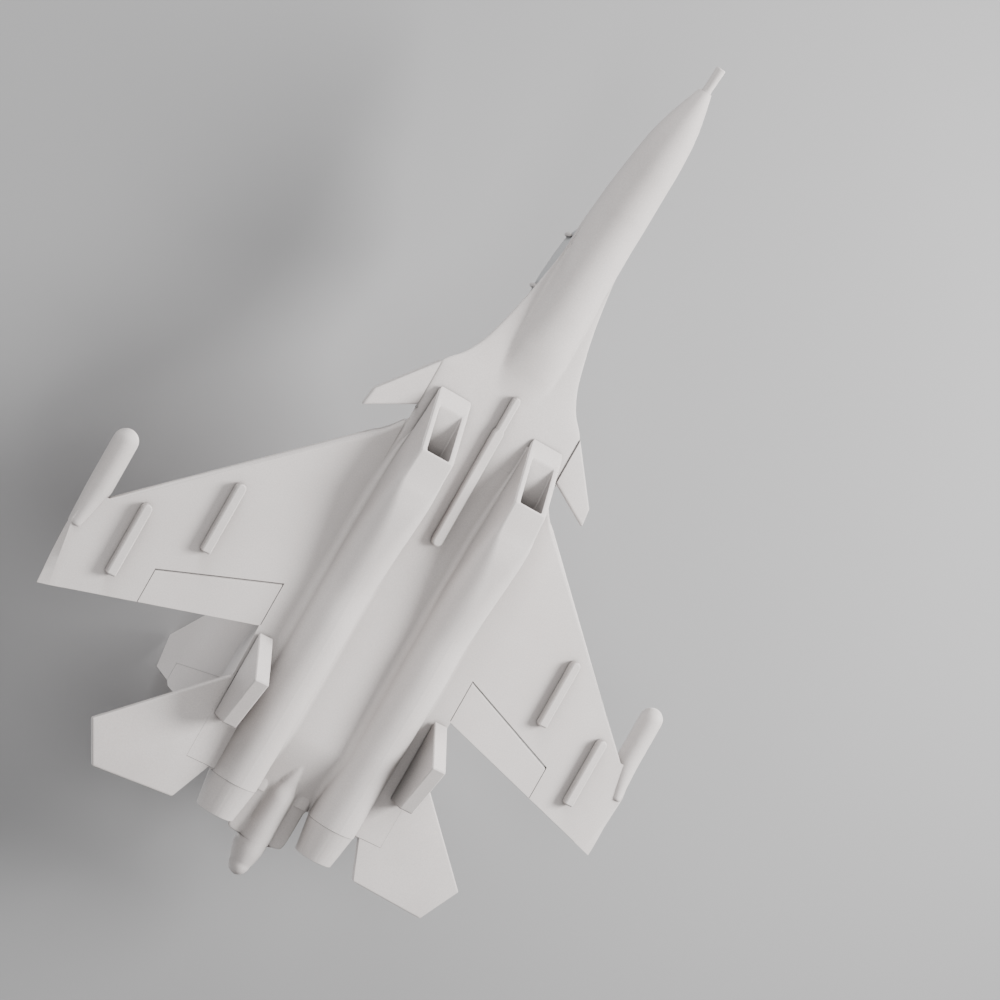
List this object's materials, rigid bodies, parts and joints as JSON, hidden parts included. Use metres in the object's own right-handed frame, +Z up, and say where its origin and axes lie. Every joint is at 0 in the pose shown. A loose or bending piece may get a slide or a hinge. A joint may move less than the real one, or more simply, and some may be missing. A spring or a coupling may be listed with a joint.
{
  "type": "rc jet plane",
  "caption": "Canard jet model with ducted fans in belly nacelles, twin fins, all-moving tail and foreplanes, flaperons and a lift-off canopy hatch.",
  "frame": {"origin": "on the ground line, half way along the overall length, on the plane of symmetry", "axes": "-Y towards the nose, +X towards the port wing, +Z up"},
  "size_m": [0.7264, 1, 0.2706],
  "materials": {
    "moulded_skin": "very fine grain, matte",
    "metal": "satin",
    "carbon": "pultruded tube, satin",
    "fan_plastic": "glass-filled, satin",
    "equipment_case": "satin",
    "battery_wrap": "shrink film",
    "ply": "plain"
  },
  "bodies": {
    "airframe": {"battery": "battery_wrap", "battery_tray": "ply", "belly_rail": "moulded_skin", "canard_servo_port": "equipment_case", "canard_servo_starboard": "equipment_case", "fan_housing_port": "fan_plastic", "fan_housing_starboard": "fan_plastic", "fan_motor_port": "metal", "fan_motor_starboard": "metal", "fin_port": "moulded_skin", "fin_starboard": "moulded_skin", "flaperon_servo_port": "equipment_case", "flaperon_servo_starboard": "equipment_case", "fuselage_belly": "moulded_skin", "fuselage_top": "moulded_skin", "inner_pylon_port": "moulded_skin", "inner_pylon_starboard": "moulded_skin", "nacelle_port": "moulded_skin", "nacelle_starboard": "moulded_skin", "nose_cone": "moulded_skin", "nozzle_port": "moulded_skin", "nozzle_starboard": "moulded_skin", "outer_pylon_port": "moulded_skin", "outer_pylon_starboard": "moulded_skin", "pitot_boom": "moulded_skin", "rear_deck": "moulded_skin", "receiver": "equipment_case", "rudder_servo_port": "equipment_case", "rudder_servo_starboard": "equipment_case", "speed_controller_port": "equipment_case", "speed_controller_starboard": "equipment_case", "stabilator_servo_port": "equipment_case", "stabilator_servo_starboard": "equipment_case", "tail_boom_port": "moulded_skin", "tail_boom_starboard": "moulded_skin", "tail_stinger": "moulded_skin", "tunnel_floor": "moulded_skin", "ventral_fin_port": "moulded_skin", "ventral_fin_starboard": "moulded_skin", "wing_port": "moulded_skin", "wing_spar_port": "carbon", "wing_spar_starboard": "carbon", "wing_starboard": "moulded_skin", "wingtip_pod_port": "moulded_skin", "wingtip_pod_starboard": "moulded_skin"},
    "fan_rotor_port": {"fan_rotor_port": "fan_plastic"},
    "fan_rotor_starboard": {"fan_rotor_starboard": "fan_plastic"},
    "flaperon_port": {"flaperon_port": "moulded_skin"},
    "flaperon_starboard": {"flaperon_starboard": "moulded_skin"},
    "canard_port": {"canard_port": "moulded_skin", "canard_shaft_port": "metal"},
    "canard_starboard": {"canard_starboard": "moulded_skin", "canard_shaft_starboard": "metal"},
    "stabilator_port": {"stabilator_port": "moulded_skin", "stabilator_shaft_port": "metal"},
    "stabilator_starboard": {"stabilator_starboard": "moulded_skin", "stabilator_shaft_starboard": "metal"},
    "rudder_port": {"rudder_port": "moulded_skin"},
    "rudder_starboard": {"rudder_starboard": "moulded_skin"},
    "canopy_hatch": {"canopy_hatch": "moulded_skin"}
  },
  "joints": [
    {"name": "fan_spin_port", "type": "hinge", "parent": "airframe", "child": "fan_rotor_port", "pos_m": [0.064, 0.19, 0.0508], "axis": [0, 1, 0], "continuous": true},
    {"name": "flaperon_hinge_port", "type": "hinge", "parent": "airframe", "child": "flaperon_port", "pos_m": [0.1254, 0.19973, 0.05823], "axis": [0.9418, 0.336, -0.0025], "range_deg": [-25, 20]},
    {"name": "canard_pivot_port", "type": "hinge", "parent": "airframe", "child": "canard_port", "pos_m": [0.094, -0.055, 0.058], "axis": [1, 0, 0], "range_deg": [-15, 15]},
    {"name": "stabilator_pivot_port", "type": "hinge", "parent": "airframe", "child": "stabilator_port", "pos_m": [0.1262, 0.362, 0.056], "axis": [1, 0, 0], "range_deg": [-18, 18]},
    {"name": "rudder_hinge_port", "type": "hinge", "parent": "airframe", "child": "rudder_port", "pos_m": [0.1205, 0.319, 0.085], "axis": [0, 0.1848, 0.9828], "range_deg": [-25, 25]},
    {"name": "fan_spin_starboard", "type": "hinge", "parent": "airframe", "child": "fan_rotor_starboard", "pos_m": [-0.064, 0.19, 0.0508], "axis": [0, 1, 0], "continuous": true},
    {"name": "flaperon_hinge_starboard", "type": "hinge", "parent": "airframe", "child": "flaperon_starboard", "pos_m": [-0.1254, 0.19973, 0.05823], "axis": [0.9418, -0.336, 0.0025], "range_deg": [-25, 20]},
    {"name": "canard_pivot_starboard", "type": "hinge", "parent": "airframe", "child": "canard_starboard", "pos_m": [-0.094, -0.055, 0.058], "axis": [1, 0, 0], "range_deg": [-15, 15]},
    {"name": "stabilator_pivot_starboard", "type": "hinge", "parent": "airframe", "child": "stabilator_starboard", "pos_m": [-0.1262, 0.362, 0.056], "axis": [1, 0, 0], "range_deg": [-18, 18]},
    {"name": "rudder_hinge_starboard", "type": "hinge", "parent": "airframe", "child": "rudder_starboard", "pos_m": [-0.1205, 0.319, 0.085], "axis": [0, 0.1848, 0.9828], "range_deg": [-25, 25]},
    {"name": "canopy_lift", "type": "slide", "parent": "airframe", "child": "canopy_hatch", "axis": [0, 0, 1], "range_m": [0, 0.05]}
  ],
  "couplings": [
    {"joint": "canard_pivot_starboard", "follows": "canard_pivot_port", "ratio": 1},
    {"joint": "rudder_hinge_starboard", "follows": "rudder_hinge_port", "ratio": 1}
  ]
}
